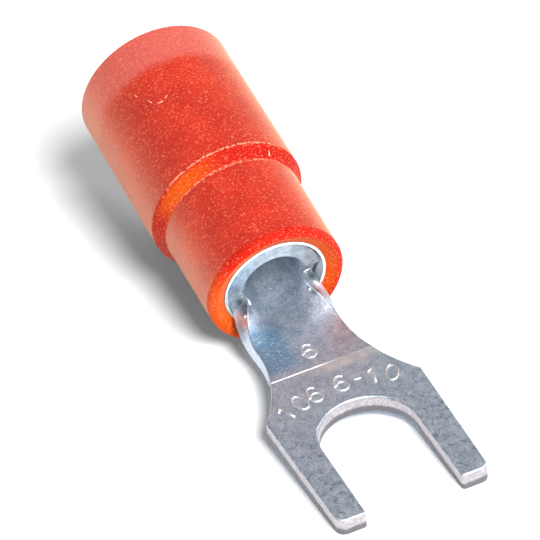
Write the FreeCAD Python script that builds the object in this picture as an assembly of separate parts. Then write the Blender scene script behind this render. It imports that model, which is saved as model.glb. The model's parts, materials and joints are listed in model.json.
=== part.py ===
import FreeCAD, Part
import math
import os

from FreeCAD import Vector

os.makedirs("parts", exist_ok=True)

# Fork terminal for a crimped wire: a stamped and rolled terminal, a thin metal sleeve pressed over its
# barrel, and a stepped nylon insulator. All sizes are millimetres.
# The pieces are modelled along the barrel's axis: x = 0 is the front edge of the sleeve, the fork is on
# the +x side and +z is the side that the open trough of the neck faces. The last step lays the part down.

# Strip that the terminal is stamped from
stock = 1.25
edge_break = 0.14
join_tolerance = 0.001

# Barrel that takes the wire
barrel_bore_r = 2.25
barrel_length = 6.4
barrel_recess = 0.15
barrel_mouth_chamfer = 0.35

# Reliefs beside the neck, where the barrel's wings part from it
relief_depth = 0.85
relief_top_deg = 8.0

# Neck, from the trough at the barrel to the flat tongue
root_width = 6.8
neck_width = 6.5
trough_length = 4.1
neck_bend_r = 6.0
bend_line_x = 7.36
bend_line_rise = 1.61

# Fork
fork_pitch_deg = 9.2
shoulder_reach = 3.67
shoulder_width = 11.34
tip_reach = 14.69
tip_width = 10.8
slot_width = 6.8
slot_root_reach = 4.36
flare_r = 11.6
tip_outer_r = 0.65
tip_inner_r = 0.25

# Steps of the sleeve and of the insulator, which climb together
step_angle_deg = 28.65

# Insulation-grip sleeve
sleeve_wall = 0.2
sleeve_fit = 0.07
sleeve_step_rise = 1.03
sleeve_step_lead = 0.35
sleeve_wide_length = 9.25

# Nylon insulator
nylon_fit = 0.03
nylon_front = 0.4
nylon_rim_wall = 1.2
nylon_rim_round = 0.4
nylon_dish_width = 0.75
nylon_dish_depth = 0.45
nylon_foot_wall = 1.26
nylon_rear_wall = 0.82
nylon_step_lag = 0.1
nylon_overhang = 2.81
nylon_edge_round = 0.15
nylon_rear_bevel = 0.12
nylon_mouth_flare = 0.45
nylon_mouth_depth = 2.2

# Radii that follow, from the inside out
barrel_r = barrel_bore_r + stock
barrel_mid_r = barrel_bore_r + stock / 2
sleeve_inner_r = barrel_r + sleeve_fit
sleeve_outer_r = sleeve_inner_r + sleeve_wall
sleeve_wide_r = sleeve_outer_r + sleeve_step_rise
nylon_bore_r = sleeve_outer_r + nylon_fit
nylon_wide_bore_r = sleeve_wide_r + nylon_fit
nylon_rim_r = nylon_bore_r + nylon_rim_wall
nylon_foot_r = nylon_bore_r + nylon_foot_wall
nylon_body_r = nylon_wide_bore_r + nylon_rear_wall

# Stations that follow, from the front of the barrel to the rear of the insulator
step_slope = math.tan(math.radians(step_angle_deg))
sleeve_step_start = -(barrel_recess + barrel_length + sleeve_step_lead)
sleeve_step_end = sleeve_step_start - sleeve_step_rise / step_slope
sleeve_end = sleeve_step_end - sleeve_wide_length
nylon_step_foot = sleeve_step_start - nylon_step_lag
nylon_step_edge = nylon_step_foot - (nylon_body_r - nylon_foot_r) / step_slope
nylon_end = sleeve_end - nylon_overhang

# Fork
bend_line_z = bend_line_rise - barrel_bore_r
fork_pitch = math.radians(fork_pitch_deg)


def xz(x, z):
    return Vector(x, 0, z)


def polygon_face(points):
    return Part.Face(Part.makePolygon(points + [points[0]]))


def revolve_about_x(points):
    """Ring from a closed outline of (x, radius) pairs."""
    face = polygon_face([xz(x, r) for x, r in points])
    return face.revolve(Vector(0, 0, 0), Vector(1, 0, 0), 360)


def ring_edges(shape, x, r):
    """Full circles of radius r about the axis at station x."""
    found = []
    for edge in shape.Edges:
        curve = edge.Curve
        if not isinstance(curve, Part.Circle):
            continue
        if abs(curve.Radius - r) < 0.01 and abs(curve.Center.x - x) < 0.01:
            found.append(edge)
    return found


def barrel():
    front = -barrel_recess
    back = front - barrel_length
    mouth_r = barrel_bore_r + barrel_mouth_chamfer
    tube = revolve_about_x([
        (front, barrel_bore_r),
        (front, barrel_r),
        (back, barrel_r),
        (back, mouth_r),
        (back + barrel_mouth_chamfer, barrel_bore_r),
    ])
    for side in (1, -1):
        tube = tube.cut(relief(front, side))
    return tube


def root_edge_angle():
    """Angle below the horizontal at which the trough's edges leave the barrel."""
    return math.pi / 2 - root_width / 2 / barrel_mid_r


def relief(front, side):
    reach = 2 * barrel_r
    low = -root_edge_angle()
    high = math.radians(relief_top_deg)
    corners = [Vector(front - relief_depth, 0, 0)]
    for angle in (low, high):
        corners.append(Vector(front - relief_depth, side * reach * math.cos(angle), reach * math.sin(angle)))
    return polygon_face(corners).extrude(Vector(2 * relief_depth, 0, 0))


def neck_pitch():
    """Pitch of the flat neck, so that its top face meets the bend line."""
    low = 0.0
    high = math.radians(60)
    for _ in range(60):
        pitch = (low + high) / 2
        start = neck_mid_point(trough_length, pitch)
        top = start + Vector(-math.sin(pitch), 0, math.cos(pitch)) * (stock / 2)
        height = top.z + (bend_line_x - top.x) * math.tan(pitch)
        if height < bend_line_z:
            low = pitch
        else:
            high = pitch
    return pitch


def neck_mid_point(run, pitch):
    """Point on the neck's middle line, which leaves the barrel along its floor and bends up."""
    arc_run = min(run, neck_bend_r * pitch)
    turn = arc_run / neck_bend_r
    x = -barrel_recess + neck_bend_r * math.sin(turn)
    z = -barrel_mid_r + neck_bend_r * (1 - math.cos(turn))
    rest = run - arc_run
    return xz(x + rest * math.cos(turn), z + rest * math.sin(turn))


def strip_section(run, pitch):
    """Cross-section of the neck: an arched strip that opens out to a flat one, its top edges rounded."""
    share = run / trough_length
    ease = share * share * (3 - 2 * share)
    bow = (1 - ease) / barrel_mid_r
    width = root_width + (neck_width - root_width) * ease
    tilt = min(run / neck_bend_r, pitch)
    across = Vector(0, 1, 0)
    upward = Vector(-math.sin(tilt), 0, math.cos(tilt))
    middle = neck_mid_point(run, pitch)
    half = width / 2
    inset = half - edge_break
    skin = stock / 2

    def place(along, height):
        """Point at a distance across the strip and a height above its middle, with the surface's normal."""
        turn = along * bow
        side = math.sin(turn) / bow if bow > 0 else along
        lift = (1 - math.cos(turn)) / bow if bow > 0 else 0.0
        normal = upward * math.cos(turn) - across * math.sin(turn)
        return middle + across * side + upward * lift + normal * height, normal

    def face_edge(reach, height):
        curve = Part.BSplineCurve()
        steps = 8
        curve.interpolate([place(reach * (2 * i / steps - 1), height)[0] for i in range(steps + 1)])
        return curve.toShape()

    def sheared_edge(side):
        centre, normal = place(side * inset, skin - edge_break)
        outward = (across * normal.dot(upward) - upward * normal.dot(across)) * side
        middle_way = (normal + outward).normalize()
        brow = centre + normal * edge_break
        cheek = centre + outward * edge_break
        arc = Part.Arc(brow, centre + middle_way * edge_break, cheek).toShape()
        wall = Part.makeLine(cheek, place(side * half, -skin)[0])
        return [arc, wall]

    right = sheared_edge(1)
    left = sheared_edge(-1)
    return Part.Wire([face_edge(inset, skin)] + right + [face_edge(half, -skin)] + left[::-1])


def trough():
    pitch = neck_pitch()
    stations = 9
    sections = [strip_section(trough_length * i / (stations - 1), pitch) for i in range(stations)]
    return Part.makeLoft(sections, True, False)


def tongue_side():
    """Side view of the flat neck and the fork, extruded past both edges."""
    pitch = neck_pitch()
    start = neck_mid_point(trough_length, pitch)
    neck_up = Vector(-math.sin(pitch), 0, math.cos(pitch))
    fork_up = Vector(-math.sin(fork_pitch), 0, math.cos(fork_pitch))
    fork_out = Vector(math.cos(fork_pitch), 0, math.sin(fork_pitch))
    half_turn = (pitch - fork_pitch) / 2
    mitre = (neck_up + fork_up).normalize() * (stock / math.cos(half_turn))
    crease = xz(bend_line_x, bend_line_z)
    tip = crease + fork_out * (tip_reach + 1)
    outline = [
        start + neck_up * (stock / 2),
        crease,
        tip,
        tip - fork_up * stock,
        crease - mitre,
        start - neck_up * (stock / 2),
    ]
    face = polygon_face([point - Vector(0, shoulder_width, 0) for point in outline])
    return face.extrude(Vector(0, 2 * shoulder_width, 0))


def rounded_corner(before, corner, after, radius):
    """Ends and middle of the arc that rounds one corner of a plan outline."""
    toward = (before - corner).normalize()
    away = (after - corner).normalize()
    half = toward.getAngle(away) / 2
    reach = radius / math.tan(half)
    middle = (toward + away).normalize() * (radius / math.sin(half) - radius)
    return corner + toward * reach, corner + middle, corner + away * reach


def fork_plan():
    """Plan of the tongue seen square to the fork, with x = 0 at the bend line."""
    flare_rise = (shoulder_width - neck_width) / 2
    flare_run = math.sqrt(flare_r ** 2 - (flare_r - flare_rise) ** 2)
    flare_start = shoulder_reach - flare_run
    back = -bend_line_x - 1
    slot_centre = slot_root_reach + slot_width / 2
    edges = []
    ends = {}
    for side in (1, -1):
        waist = Vector(flare_start, side * neck_width / 2, 0)
        shoulder = Vector(shoulder_reach, side * shoulder_width / 2, 0)
        centre = waist + Vector(0, side * flare_r, 0)
        sag = (waist + shoulder) * 0.5 - centre
        flare_mid = centre + sag.normalize() * flare_r
        corner = Vector(tip_reach, side * tip_width / 2, 0)
        inner = Vector(tip_reach, side * slot_width / 2, 0)
        slot_end = Vector(slot_centre, side * slot_width / 2, 0)
        outer_arc = rounded_corner(shoulder, corner, inner, tip_outer_r)
        inner_arc = rounded_corner(corner, inner, slot_end, tip_inner_r)
        neck_back = Vector(back, side * neck_width / 2, 0)
        edges.append(Part.makeLine(neck_back, waist))
        edges.append(Part.Arc(waist, flare_mid, shoulder).toShape())
        edges.append(Part.makeLine(shoulder, outer_arc[0]))
        edges.append(Part.Arc(*outer_arc).toShape())
        edges.append(Part.makeLine(outer_arc[2], inner_arc[0]))
        edges.append(Part.Arc(*inner_arc).toShape())
        edges.append(Part.makeLine(inner_arc[2], slot_end))
        ends[side] = (neck_back, slot_end)
    root = Vector(slot_root_reach, 0, 0)
    edges.append(Part.Arc(ends[1][1], root, ends[-1][1]).toShape())
    edges.append(Part.makeLine(ends[1][0], ends[-1][0]))
    return Part.Face(Part.Wire(Part.__sortEdges__(edges)))


def tongue():
    """Flat neck and fork, with the rounded upper edges that the die leaves on a stamping."""
    deep = bend_line_x + tip_reach
    plan = fork_plan()
    plan.translate(Vector(0, 0, -deep))
    block = plan.extrude(Vector(0, 0, 2 * deep))
    block.rotate(Vector(0, 0, 0), Vector(0, 1, 0), -fork_pitch_deg)
    block.translate(xz(bend_line_x, bend_line_z))
    blank = tongue_side().common(block)
    return blank.makeFillet(edge_break, rim_edges(blank))


def rim_edges(blank):
    """Edges between the tongue's top faces and its sheared sides."""
    found = []
    for edge in blank.Edges:
        faces = blank.ancestorsOfType(edge, Part.Face)
        tops = [face for face in faces if face_normal(face).z > 0.9]
        sides = [face for face in faces if abs(face_normal(face).z) < 0.5 and not is_joint(face)]
        if len(tops) == 1 and len(sides) == 1:
            found.append(edge)
    return found


def face_normal(face):
    u0, u1, v0, v1 = face.ParameterRange
    return face.normalAt((u0 + u1) / 2, (v0 + v1) / 2)


def is_joint(face):
    """True for the face where the flat neck meets the trough."""
    return face.CenterOfMass.x < neck_mid_point(trough_length, neck_pitch()).x + stock / 4


def terminal():
    body = barrel().fuse([trough(), tongue()], join_tolerance).removeSplitter()
    return body.makeFillet(edge_break, face_arcs(body))


def face_arcs(body):
    """Inner and outer edges of the barrel's end face, above the reliefs."""
    found = []
    for edge in body.Edges:
        curve = edge.Curve
        if not isinstance(curve, Part.Circle):
            continue
        at_face = abs(curve.Center.x + barrel_recess) < 0.001 and abs(curve.Axis.x) > 0.999
        if at_face and edge.BoundBox.ZMin > 0:
            found.append(edge)
    return found


def sleeve():
    narrow_in = sleeve_inner_r
    wide_in = sleeve_wide_r - sleeve_wall
    return revolve_about_x([
        (0, narrow_in),
        (0, sleeve_outer_r),
        (sleeve_step_start, sleeve_outer_r),
        (sleeve_step_end, sleeve_wide_r),
        (sleeve_end, sleeve_wide_r),
        (sleeve_end, wide_in),
        (sleeve_step_end, wide_in),
        (sleeve_step_start, narrow_in),
    ])


def insulator():
    mouth_r = nylon_wide_bore_r + nylon_mouth_flare
    body = revolve_about_x([
        (nylon_front - nylon_dish_depth, nylon_bore_r),
        (nylon_front, nylon_bore_r + nylon_dish_width),
        (nylon_front, nylon_rim_r),
        (nylon_step_foot, nylon_foot_r),
        (nylon_step_edge, nylon_body_r),
        (nylon_end + nylon_rear_bevel, nylon_body_r),
        (nylon_end, nylon_body_r - nylon_rear_bevel),
        (nylon_end, mouth_r),
        (nylon_end + nylon_mouth_depth, nylon_wide_bore_r),
        (sleeve_step_end, nylon_wide_bore_r),
        (sleeve_step_start, nylon_bore_r),
    ])
    body = body.makeFillet(nylon_rim_round, ring_edges(body, nylon_front, nylon_rim_r))
    return body.makeFillet(nylon_edge_round, ring_edges(body, nylon_step_edge, nylon_body_r))


def rest_pitch_deg():
    """Nose-down pitch at which the insulator's front rim and the fork's tips both touch a table."""
    out = Vector(math.cos(fork_pitch), 0, math.sin(fork_pitch))
    up = Vector(-math.sin(fork_pitch), 0, math.cos(fork_pitch))
    tip = xz(bend_line_x, bend_line_z) + out * tip_reach - up * stock
    rim = xz(nylon_front - nylon_rim_round, nylon_rim_round - nylon_rim_r)
    span = tip - rim
    return math.degrees(math.atan2(span.z, span.x) + math.asin(nylon_rim_round / span.Length))


def lay_down(shapes):
    """Turn the pieces to rest on the table at z = 0, with the origin under the middle of their box."""
    for shape in shapes.values():
        shape.rotate(Vector(0, 0, 0), Vector(0, 1, 0), rest_pitch_deg())
    box = Part.makeCompound(list(shapes.values())).optimalBoundingBox(True, False)
    shift = Vector(-box.Center.x, -box.Center.y, -box.ZMin)
    for shape in shapes.values():
        shape.translate(shift)
    return shift


pieces = {
    "terminal": terminal(),
    "grip_sleeve": sleeve(),
    "insulator": insulator(),
}
shift = lay_down(pieces)

for name, shape in pieces.items():
    print(name, "solids", len(shape.Solids), "valid", shape.isValid(), "volume", round(shape.Volume, 2))
    shape.exportStep("parts/" + name + ".step")

print("pitch", round(rest_pitch_deg(), 3), "shift", [round(v, 4) for v in shift])
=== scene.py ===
import json
import math

import bmesh
import bpy
from mathutils import Matrix, Vector


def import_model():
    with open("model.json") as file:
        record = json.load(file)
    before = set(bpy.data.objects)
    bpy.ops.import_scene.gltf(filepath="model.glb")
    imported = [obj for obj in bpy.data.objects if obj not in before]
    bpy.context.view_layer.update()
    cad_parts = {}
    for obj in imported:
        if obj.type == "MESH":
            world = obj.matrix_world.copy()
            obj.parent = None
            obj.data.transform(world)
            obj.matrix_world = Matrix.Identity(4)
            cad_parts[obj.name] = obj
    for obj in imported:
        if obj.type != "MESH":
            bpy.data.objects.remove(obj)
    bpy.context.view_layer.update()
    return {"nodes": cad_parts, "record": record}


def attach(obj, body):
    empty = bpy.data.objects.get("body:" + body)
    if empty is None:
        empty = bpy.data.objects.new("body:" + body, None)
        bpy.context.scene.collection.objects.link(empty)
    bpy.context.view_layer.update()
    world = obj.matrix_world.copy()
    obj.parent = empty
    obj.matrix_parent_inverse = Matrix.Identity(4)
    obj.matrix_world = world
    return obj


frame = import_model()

MM = 0.001

# Camera of the photograph, worked out from the outlines of the real part
CAMERA_PLACE = Vector((219.20, -69.49, 167.78)) * MM
CAMERA_AIM = Vector((-8.28, 2.38, 0.0)) * MM
CAMERA_ROLL_DEG = -9.70
CAMERA_NEAR = 0.01
CAMERA_FAR = 10
LENS_MM = 276.6
SENSOR_MM = 36.0

# Light and table
WORLD_LEVEL = 0.34
KEY_PLACE = (0.38, 0.05, 0.38)
KEY_SIZE = 0.22
KEY_POWER = 4.8
SIDE_PLACE = (0.16, 0.40, 0.26)
SIDE_SIZE = 0.10
SIDE_POWER = 0.6
FLOOR_SIZE = 2.0
FLOOR_WHITE = 0.98

# Axis of the barrel, from the record
mounts = {mount["name"]: mount for mount in frame["record"]["mounts"]}
barrel_point = Vector(mounts["wire_barrel"]["pos_m"])
rearward = Vector(mounts["wire_barrel"]["axis"]).normalized()
AXIS_TILT = math.atan2(rearward.z, -rearward.x)

# Stations along the barrel's axis in mm, 0 at the front edge of the sleeve and negative behind it
BARREL_MID = -3.175
SLEEVE_END = -18.05
axis_origin = barrel_point + rearward * (BARREL_MID * MM)

# Zones of the nylon. Each pair goes from where a zone is absent to where it is full, in mm along
# the barrel's axis, in mm away from it (OUT), or in degrees round it from the top, negative
# towards -y (SIDE). Two pairs are a zone's rise and its fall.
REAR_BAND = (SLEEVE_END + 1.1, SLEEVE_END - 0.1)
# Paler flank, painted as a reflection of the white table
FLANK_REFLECTION_SIDE = (-55, -105)
SHOULDER = ((-8.35, -8.0), (-6.9, -7.2))
# Orange glow painted as light on the shoulder
PAINTED_GLOW = (-8.15, -7.75)
PAINTED_GLOW_SIDE = ((-80, -54), (2, -40))
FRONT = (-0.35, -0.1)
# Orange glow painted as light on the front's face and its lower side
FACE_GLOW = (-0.25, -0.05)
FACE_GLOW_OUT = (4.75, 4.3)
LOW_GLOW = (-0.6, -0.2)
LOW_GLOW_SIDE = (-40, -75)
# Painted highlights along the shoulder's edge and foot
EDGE_HIGHLIGHT = ((-8.24, -8.17), (-8.02, -8.1))
FOOT_HIGHLIGHT = ((-7.12, -7.04), (-6.9, -6.97))
HIGHLIGHT_SIDE = (62, 30)

# Zones of the strip, in the same way. Y is in mm across it, FACING the share of the normal that
# points up or lengthwise, DEPTH in mm below its top.
STAIN = ((1.2, 2.6), (7.3, 6.2))
STAIN_Y = (0.4, -1.0)
STAIN_FACING = (0.55, 0.8)
# Painted highlights along the crease and on the band beyond it
CREASE_HIGHLIGHT = ((7.27, 7.37), (7.56, 7.44))
CREASE_HIGHLIGHT_Y = (1.6, -0.6)
LIT_BAND = ((7.35, 7.5), (8.7, 8.0))
LIT_BAND_Y = (-1.6, 0.6)
GRIME = (9.0, 15.0)
SHEARED = (6.0, 7.0)
SHEARED_FACING = (0.45, 0.25)
# The torn lower part of the sheared sides is darkened, partly as painted shade
TORN_AND_SHADED_DEPTH = (0.85, 1.1)
END = (0.3, 0.1)
END_FACING = (0.6, 0.85)
# Painted shade at the outer rim of the barrel's end
SHADED_RIM_OUT = (3.38, 3.45)

# Top of the fork in the same coordinates: slope, and height at the front edge in mm
FORK_SLOPE = math.tan(math.radians(9.2))
FORK_LEVEL = -1.84

# Greys of the plating, on the screen: dark and pale mottling, and scratches
STRIP_GREYS = ((188, 205, 224), (216, 226, 238), (255, 255, 255))
RING_GREYS = ((226, 228, 228), (244, 243, 240), (255, 253, 248))
ROUGH_TIN = 0.32

# Figures on the strip
FIGURE_HEIGHT = 1.5 * MM
FIGURE_STROKE = 0.11 * MM
FIGURE_SINK = 0.04 * MM
FIGURE_PITCH = 1.15 * MM
NECK_FIGURE = (5.2 * MM, -0.2 * MM)
ROW_CENTRE = 19.4 * MM
ROW_RADIUS = 10.0 * MM
ROW_FIGURES = (("106", -4.0 * MM), ("6-10", 0.3 * MM))
ABOVE_STRIP = 20 * MM
BEAD_SIDES = 8

# Wear at the reliefs' corners and on the nylon, in mm: radius and path of each bead; place and
# reach of each spot of painted shade in the reliefs
BURRS = (
    (0.10, ((-0.95, -2.33, 4.12), (-0.86, -2.05, 4.05), (-0.50, -1.95, 3.92),
            (-0.17, -2.01, 3.80))),
    (0.12, ((-0.50, 2.76, 3.81), (-0.21, 2.93, 3.66), (0.02, 3.10, 3.46))),
    (0.08, ((-1.24, 2.50, 4.12), (-1.23, 3.10, 4.17))),
    (0.10, ((0.20, 2.15, 3.72), (0.42, 2.25, 3.66))),
    (0.08, ((0.42, -2.72, 3.58), (0.62, -2.70, 3.50))),
)
# Spots of painted shade in the reliefs
RELIEF_SHADE_SPOTS = (
    ((0.14, -2.43, 3.81), 0.75),
    ((-0.60, -2.60, 4.05), 0.40),
    ((0.55, 2.55, 3.65), 0.55),
    ((-0.75, 3.00, 4.00), 0.45),
)
NICKS = (
    (0.025, ((-14.80, -3.15, 13.38), (-14.64, -3.11, 13.36), (-14.47, -3.07, 13.34))),
    (0.025, ((-13.60, -2.64, 13.41), (-13.36, -2.57, 13.38), (-13.13, -2.48, 13.36))),
    (0.030, ((-12.82, -2.20, 13.42), (-12.68, -2.02, 13.46), (-12.66, -1.80, 13.53))),
    (0.025, ((-12.76, -1.60, 13.61), (-12.91, -1.37, 13.72))),
    (0.045, ((-6.38, 3.13, 10.98), (-6.22, 3.08, 10.87), (-6.06, 3.00, 10.76))),
)


class Graph:
    """Short hand for building one material's nodes."""

    def __init__(self, name):
        self.material = bpy.data.materials.new(name)
        self.material.use_nodes = True
        self.tree = self.material.node_tree
        self.tree.nodes.clear()
        self.shader = self.tree.nodes.new("ShaderNodeBsdfPrincipled")
        out = self.tree.nodes.new("ShaderNodeOutputMaterial")
        self.link(self.shader.outputs[0], out.inputs["Surface"])

    def link(self, source, target):
        self.tree.links.new(source, target)

    def feed(self, target, value):
        if isinstance(value, bpy.types.NodeSocket):
            self.link(value, target)
        else:
            target.default_value = value

    def set(self, **sockets):
        for name, value in sockets.items():
            self.feed(self.shader.inputs[name.replace("_", " ")], value)

    def coords(self, kind="Object"):
        return self.tree.nodes.new("ShaderNodeTexCoord").outputs[kind]

    def mapping(self, vector, location=(0, 0, 0), rotation=(0, 0, 0), scale=(1, 1, 1)):
        node = self.tree.nodes.new("ShaderNodeMapping")
        self.link(vector, node.inputs["Vector"])
        node.inputs["Location"].default_value = location
        node.inputs["Rotation"].default_value = rotation
        node.inputs["Scale"].default_value = scale
        return node.outputs[0]

    def noise(self, vector, scale, detail=3.0, rough=0.55):
        node = self.tree.nodes.new("ShaderNodeTexNoise")
        self.link(vector, node.inputs["Vector"])
        node.inputs["Scale"].default_value = scale
        node.inputs["Detail"].default_value = detail
        node.inputs["Roughness"].default_value = rough
        return node.outputs["Fac"]

    def math(self, kind, first, second=0.0, third=0.0):
        node = self.tree.nodes.new("ShaderNodeMath")
        node.operation = kind
        self.feed(node.inputs[0], first)
        self.feed(node.inputs[1], second)
        self.feed(node.inputs[2], third)
        return node.outputs[0]

    def times(self, product, *factors):
        for factor in factors:
            product = self.math("MULTIPLY", product, factor)
        return product

    def length(self, first, second):
        """Length of the vector that has these two parts."""
        squares = self.math("ADD", self.times(first, first), self.times(second, second))
        return self.math("SQRT", squares)

    def rise(self, value, low, high):
        """0 below low, 1 above high, smooth between; low may be the larger."""
        node = self.tree.nodes.new("ShaderNodeMapRange")
        node.interpolation_type = "SMOOTHSTEP"
        self.feed(node.inputs["Value"], value)
        node.inputs["From Min"].default_value = min(low, high)
        node.inputs["From Max"].default_value = max(low, high)
        node.inputs["To Min"].default_value = 0.0 if low < high else 1.0
        node.inputs["To Max"].default_value = 1.0 if low < high else 0.0
        return node.outputs["Result"]

    def within(self, value, rising, falling):
        """1 between a rise and a fall, each a pair from absent to full."""
        return self.times(self.rise(value, *rising), self.rise(value, *falling))

    def near(self, place, inner, outer):
        """1 within the inner distance of a place given in millimetres, 0 beyond the outer one."""
        node = self.tree.nodes.new("ShaderNodeVectorMath")
        node.operation = "DISTANCE"
        self.link(self.coords(), node.inputs[0])
        node.inputs[1].default_value = Vector(place) * MM
        return self.rise(node.outputs["Value"], outer * MM, inner * MM)

    def mix(self, share, first, second):
        node = self.tree.nodes.new("ShaderNodeMix")
        node.data_type = "RGBA"
        self.feed(node.inputs["Factor"], share)
        self.feed(node.inputs["A"], first)
        self.feed(node.inputs["B"], second)
        return node.outputs["Result"]

    def paint(self, tone, zone, strength, paint):
        """Lays a paint over a tone, at this strength where the zone is 1."""
        return self.mix(self.times(zone, strength), tone, paint)

    def split(self, vector):
        node = self.tree.nodes.new("ShaderNodeSeparateXYZ")
        self.link(vector, node.inputs[0])
        return node.outputs

    def bump(self, height, strength, distance, normal=None):
        node = self.tree.nodes.new("ShaderNodeBump")
        node.inputs["Strength"].default_value = strength
        node.inputs["Distance"].default_value = distance
        self.link(height, node.inputs["Height"])
        if normal is not None:
            self.link(normal, node.inputs["Normal"])
        return node.outputs[0]


def colour(red, green, blue):
    """Linear colour from the screen values 0 to 255."""
    def linear(value):
        value /= 255
        return value / 12.92 if value <= 0.04045 else ((value + 0.055) / 1.055) ** 2.4
    return (linear(red), linear(green), linear(blue), 1.0)


def barrel_coords(graph):
    """Coordinates with x along the barrel's axis, in mm, 0 at the sleeve's front edge."""
    to_axis = graph.mapping(graph.coords(), location=tuple(-axis_origin))
    return graph.mapping(to_axis, rotation=(0, -AXIS_TILT, 0), scale=(1 / MM,) * 3)


def nylon():
    """Translucent red nylon, matt and finely pitted, paler where no metal lies behind it; glow,
    highlights and a paler flank are painted as light.
    """
    g = Graph("red_nylon")
    point = barrel_coords(g)
    x, y, z = g.split(point)
    side = g.times(g.math("ARCTAN2", y, z), 180 / math.pi)
    out = g.length(y, z)
    grain = g.noise(g.mapping(point, scale=(2.2, 1.0, 1.0)), scale=4.6, detail=3.0, rough=0.6)
    cloud = g.noise(point, scale=0.35, detail=2.0)
    base = g.mix(g.rise(cloud, 0.35, 0.65), colour(168, 20, 7), colour(184, 32, 12))

    # The rear, where no metal lies behind, and the flank, painted paler as a reflection of the
    # white table
    rear = g.rise(g.math("ADD", x, g.math("MULTIPLY_ADD", cloud, 1.6, -0.8)), *REAR_BAND)
    base = g.mix(rear, base, colour(190, 82, 74))
    base = g.paint(base, g.rise(side, *FLANK_REFLECTION_SIDE), 0.3, colour(236, 132, 100))

    # The shoulder, and the orange glow painted on it as light
    shoulder = g.within(x, *SHOULDER)
    painted_glow = g.times(g.within(side, *PAINTED_GLOW_SIDE), g.rise(x, *PAINTED_GLOW))
    base = g.paint(base, shoulder, 0.9, colour(168, 18, 6))
    base = g.paint(base, g.times(shoulder, painted_glow), 0.9, colour(198, 80, 6))

    # The front: the rounded rim, the face inside it, and the lower side of both, the last two with
    # an orange glow painted as light
    front = g.rise(x, *FRONT)
    face = g.times(g.rise(x, *FACE_GLOW), g.rise(out, *FACE_GLOW_OUT))
    low = g.times(g.rise(side, *LOW_GLOW_SIDE), g.rise(x, *LOW_GLOW))
    base = g.paint(base, front, 0.85, colour(184, 24, 8))
    base = g.paint(base, face, 0.85, colour(206, 78, 4))
    base = g.paint(base, low, 0.7, colour(216, 84, 4))

    # Grain, and the painted highlights that it breaks up along the shoulder's edge and foot
    base = g.paint(base, g.rise(grain, 0.55, 0.66), 0.5, colour(240, 130, 104))
    base = g.paint(base, g.rise(grain, 0.46, 0.34), 0.4, colour(160, 18, 6))
    painted_highlight = g.math("MULTIPLY_ADD", g.within(x, *FOOT_HIGHLIGHT), 0.5, g.within(x, *EDGE_HIGHLIGHT))
    painted_highlight = g.times(painted_highlight, g.rise(g.math("ABSOLUTE", side), *HIGHLIGHT_SIDE), g.rise(grain, 0.42, 0.56))
    base = g.paint(base, painted_highlight, 0.8, colour(255, 176, 140))

    dull = g.math("MAXIMUM", shoulder, front)
    rough = g.math("MULTIPLY_ADD", grain, 0.3, 0.32)
    g.set(
        Base_Color=base,
        Roughness=g.math("MULTIPLY_ADD", dull, 0.2, rough),
        Specular_IOR_Level=g.math("MULTIPLY_ADD", dull, -0.3, 0.42),
        Specular_Tint=colour(255, 226, 204),
        Sheen_Weight=g.math("MULTIPLY_ADD", dull, -0.85, 1.0),
        Sheen_Roughness=0.42,
        Sheen_Tint=colour(255, 190, 150),
        Subsurface_Weight=0.3,
        Subsurface_Scale=0.4 * MM,
        Subsurface_Radius=(1.0, 0.35, 0.2),
        Normal=g.bump(grain, strength=0.8, distance=0.04 * MM),
    )
    return g.material


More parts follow.
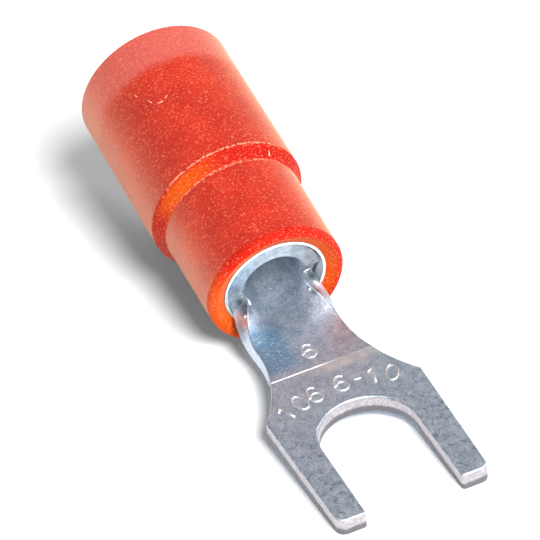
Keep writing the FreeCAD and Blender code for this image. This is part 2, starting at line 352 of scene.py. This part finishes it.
def tin(name, greys, scratched, strip=False):
    """Mottled, finely scratched tin plating; on the strip also its own grime and stain, sheared
    sides, painted highlights and painted shade.
    """
    g = Graph(name)
    dark, pale, bright = (colour(*grey) for grey in greys)
    point = barrel_coords(g)
    x, y, z = g.split(point)
    mottle = g.noise(point, scale=1.5, detail=6.0, rough=0.75)
    streak = g.noise(g.mapping(point, scale=(5.0, 1.0, 1.0)), scale=2.4, detail=4.0, rough=0.65)
    speck = g.noise(point, scale=6.5, detail=3.0, rough=0.6)
    tone = g.mix(g.rise(mottle, 0.36, 0.64), dark, pale)
    if strip:
        lengthwise, _, upward = g.split(g.coords("Normal"))
        stain = g.times(
            g.within(x, *STAIN),
            g.rise(g.math("MULTIPLY_ADD", mottle, 1.5, y), *STAIN_Y),
            g.rise(upward, *STAIN_FACING),
        )
        tone = g.paint(tone, stain, 0.85, colour(122, 180, 216))
    tone = g.paint(tone, g.rise(streak, 0.54, 0.68), scratched, bright)
    tone = g.paint(tone, g.rise(speck, 0.57, 0.66), 0.75, bright)
    tone = g.paint(tone, g.rise(speck, 0.42, 0.33), 0.5, colour(146, 148, 160))
    if strip:
        # Grime on the fork, the crease at its root with a painted highlight along it, and a painted
        # highlight on the band beyond it
        patch = g.rise(g.noise(point, scale=2.4, detail=4.0, rough=0.7), 0.54, 0.64)
        tone = g.paint(tone, g.times(patch, g.rise(x, *GRIME)), 0.55, colour(124, 124, 140))
        crease_and_highlight = g.times(
            g.within(x, *CREASE_HIGHLIGHT),
            g.math("MULTIPLY_ADD", g.rise(y, *CREASE_HIGHLIGHT_Y), 0.8, 0.2),
        )
        lit_band = g.times(g.within(x, *LIT_BAND), g.rise(y, *LIT_BAND_Y), mottle)
        tone = g.paint(tone, lit_band, 1.5, colour(250, 250, 250))
        tone = g.mix(crease_and_highlight, tone, colour(255, 255, 255))

        # Sheared sides: burnished above; below, torn and darkened, partly as painted shade
        edge = g.times(g.rise(g.math("ABSOLUTE", upward), *SHEARED_FACING), g.rise(x, *SHEARED))
        depth = g.math("SUBTRACT", g.math("MULTIPLY_ADD", x, FORK_SLOPE, FORK_LEVEL), z)
        torn_and_shaded = g.rise(g.math("MULTIPLY_ADD", mottle, 0.4, depth), *TORN_AND_SHADED_DEPTH)
        streaked = g.rise(streak, 0.42, 0.65)
        burnished = g.mix(streaked, colour(176, 172, 177), colour(206, 200, 203))
        tone = g.mix(edge, tone, g.mix(torn_and_shaded, burnished, colour(118, 116, 122)))

        # The barrel's front end, with painted shade at its outer rim, and spots of painted shade at
        # the reliefs
        end = g.times(g.rise(lengthwise, *END_FACING), g.rise(x, *END))
        mottled = g.rise(mottle, 0.4, 0.6)
        cut = g.mix(mottled, colour(126, 131, 136), colour(158, 162, 165))
        tone = g.mix(end, tone, cut)
        shaded_rim = g.times(end, g.rise(g.length(y, z), *SHADED_RIM_OUT))
        tone = g.mix(shaded_rim, tone, colour(70, 72, 78))
        for place, reach in RELIEF_SHADE_SPOTS:
            shade_spot = g.times(g.near(place, reach * 0.3, reach), g.rise(mottle, 0.3, 0.5))
            tone = g.paint(tone, shade_spot, 0.7, colour(80, 84, 92))
    fine = g.bump(streak, strength=0.5, distance=0.02 * MM)
    if strip:
        fine = g.bump(crease_and_highlight, strength=0.8, distance=0.06 * MM, normal=fine)
    g.set(
        Base_Color=tone,
        Metallic=1.0,
        Roughness=g.math("MULTIPLY_ADD", mottle, 0.3, ROUGH_TIN),
        Normal=g.bump(mottle, strength=0.5, distance=0.06 * MM, normal=fine),
    )
    return g.material


def pale_nylon():
    """Nylon whitened where it was nicked."""
    g = Graph("nicked_nylon")
    grain = g.noise(barrel_coords(g), scale=9.0, detail=2.0)
    g.set(
        Base_Color=g.mix(grain, colour(255, 150, 120), colour(255, 214, 190)),
        Roughness=g.math("MULTIPLY_ADD", grain, 0.2, 0.4),
        Normal=g.bump(grain, strength=0.4, distance=0.02 * MM),
    )
    return g.material


def arc(centre, radii, start, stop, steps):
    """Points of an ellipse's arc, angles in degrees."""
    turns = [math.radians(start + (stop - start) * i / steps) for i in range(steps + 1)]
    return [
        (centre[0] + radii[0] * math.cos(turn), centre[1] + radii[1] * math.sin(turn))
        for turn in turns
    ]


# Strokes of the figures, one high, standing on 0
GLYPH_MIDDLE = (0.3, 0.5)
GLYPHS = {
    "0": arc(GLYPH_MIDDLE, (0.28, 0.5), 90, 450, 24),
    "1": [(0.06, 0.74), (0.18, 0.87), (0.3, 1.0), (0.3, 0.66), (0.3, 0.33), (0.3, 0.0)],
    "6": arc((0.33, 0.5), (0.31, 0.5), 48, 180, 10) + arc((0.3, 0.29), (0.28, 0.29), 180, -180, 20),
    "-": [(0.08, 0.46), (0.3, 0.46), (0.52, 0.46)],
}


def tube(mesh, path, normals, radius):
    """Round bead along a path, with closed ends."""
    rings = []
    turns = [2 * math.pi * k / BEAD_SIDES for k in range(BEAD_SIDES)]
    for i, point in enumerate(path):
        ahead = (path[min(i + 1, len(path) - 1)] - path[max(i - 1, 0)]).normalized()
        across = ahead.cross(normals[i]).normalized()
        ring = [
            point + radius * (across * math.cos(turn) + normals[i] * math.sin(turn))
            for turn in turns
        ]
        rings.append([mesh.verts.new(place) for place in ring])
    for first, second in zip(rings, rings[1:]):
        for k in range(BEAD_SIDES):
            after = (k + 1) % BEAD_SIDES
            mesh.faces.new((first[k], first[after], second[after], second[k]))
    mesh.faces.new(list(reversed(rings[0])))
    mesh.faces.new(rings[-1])


def beads(name, mesh, material):
    """Makes a set of beads one piece, which rides on the part."""
    data = bpy.data.meshes.new(name)
    bmesh.ops.recalc_face_normals(mesh, faces=mesh.faces)
    for face in mesh.faces:
        face.smooth = True
    mesh.to_mesh(data)
    mesh.free()
    piece = bpy.data.objects.new(name, data)
    bpy.context.collection.objects.link(piece)
    piece.data.materials.append(material)
    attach(piece, "root")


def wear(name, paths, material):
    """Burrs or nicks: beads along short paths given in millimetres, each with its radius."""
    mesh = bmesh.new()
    for radius, path in paths:
        places = [Vector(place) * MM for place in path]
        tube(mesh, places, [Vector((0, 0, 1))] * len(places), radius * MM)
    beads(name, mesh, material)


def figures(material):
    """Generic figures standing up from the strip, on the neck and round the slot."""
    terminal = frame["nodes"]["terminal"]
    mesh = bmesh.new()

    def stamp(glyph, centre, turn):
        reading = Vector((math.sin(turn), math.cos(turn)))
        rising = Vector((-math.cos(turn), math.sin(turn)))
        path = []
        normals = []
        for u, v in GLYPHS[glyph]:
            step = (u - GLYPH_MIDDLE[0]) * reading + (v - GLYPH_MIDDLE[1]) * rising
            spot = Vector(centre) + step * FIGURE_HEIGHT
            start = Vector((spot.x, spot.y, ABOVE_STRIP))
            _, place, normal, _ = terminal.ray_cast(start, Vector((0, 0, -1)))
            path.append(place - normal * FIGURE_SINK)
            normals.append(normal)
        tube(mesh, path, normals, FIGURE_STROKE)

    stamp("6", NECK_FIGURE, 0.0)
    for row, start in ROW_FIGURES:
        for i, glyph in enumerate(row):
            along = start + i * FIGURE_PITCH
            turn = math.asin(along / ROW_RADIUS)
            stamp(glyph, (ROW_CENTRE - ROW_RADIUS * math.cos(turn), along), turn)
    beads("stamped_figures", mesh, material)


def dress(node, material):
    """Gives a node of the part its only material."""
    mesh = frame["nodes"][node].data
    mesh.materials.clear()
    mesh.materials.append(material)


def place_camera():
    camera = bpy.data.objects.new("camera", bpy.data.cameras.new("camera"))
    bpy.context.collection.objects.link(camera)
    camera.data.sensor_width = SENSOR_MM
    camera.data.lens = LENS_MM
    camera.data.clip_start = CAMERA_NEAR
    camera.data.clip_end = CAMERA_FAR
    look = (CAMERA_AIM - CAMERA_PLACE).normalized()
    turn = look.to_track_quat("-Z", "Y").to_matrix().to_4x4()
    roll = Matrix.Rotation(math.radians(CAMERA_ROLL_DEG), 4, "Z")
    camera.matrix_world = Matrix.Translation(CAMERA_PLACE) @ turn @ roll
    bpy.context.scene.camera = camera


def area_light(name, place, size, power):
    """Round soft light that faces the origin."""
    data = bpy.data.lights.new(name, "AREA")
    data.shape = "DISK"
    data.size = size
    data.energy = power
    light = bpy.data.objects.new(name, data)
    light.location = place
    light.rotation_euler = (-Vector(place)).to_track_quat("-Z", "Y").to_euler()
    bpy.context.collection.objects.link(light)


def world():
    """Even, soft studio light from all round."""
    studio = bpy.data.worlds.new("studio")
    bpy.context.scene.world = studio
    studio.use_nodes = True
    background = studio.node_tree.nodes["Background"]
    background.inputs["Color"].default_value = (1, 1, 1, 1)
    background.inputs["Strength"].default_value = WORLD_LEVEL


def floor():
    """Matt white table under the part."""
    bpy.ops.mesh.primitive_plane_add(size=FLOOR_SIZE)
    plane = bpy.context.object
    plane.name = "floor"
    white = bpy.data.materials.new("white_floor")
    white.use_nodes = True
    nodes = white.node_tree.nodes
    nodes.clear()
    matt = nodes.new("ShaderNodeBsdfDiffuse")
    matt.inputs["Color"].default_value = (FLOOR_WHITE, FLOOR_WHITE, FLOOR_WHITE, 1)
    out = nodes.new("ShaderNodeOutputMaterial")
    white.node_tree.links.new(matt.outputs[0], out.inputs["Surface"])
    plane.data.materials.append(white)


dress("insulator", nylon())
dress("terminal", tin("tin_plated_copper", STRIP_GREYS, scratched=0.5, strip=True))
dress("grip_sleeve", tin("tin_plated_brass", RING_GREYS, scratched=0.4))
bright_tin = tin("tin_plated_figures", RING_GREYS, scratched=0.5)
figures(bright_tin)
wear("relief_burrs", BURRS, bright_tin)
wear("nylon_nicks", NICKS, pale_nylon())

# Keeps the insulator's red out of the table's shadow, which is neutral in the photograph
frame["nodes"]["insulator"].visible_diffuse = False

place_camera()
world()
floor()
area_light("key", KEY_PLACE, KEY_SIZE, KEY_POWER)
area_light("side", SIDE_PLACE, SIDE_SIZE, SIDE_POWER)
scene = bpy.context.scene
scene.view_settings.view_transform = "Standard"
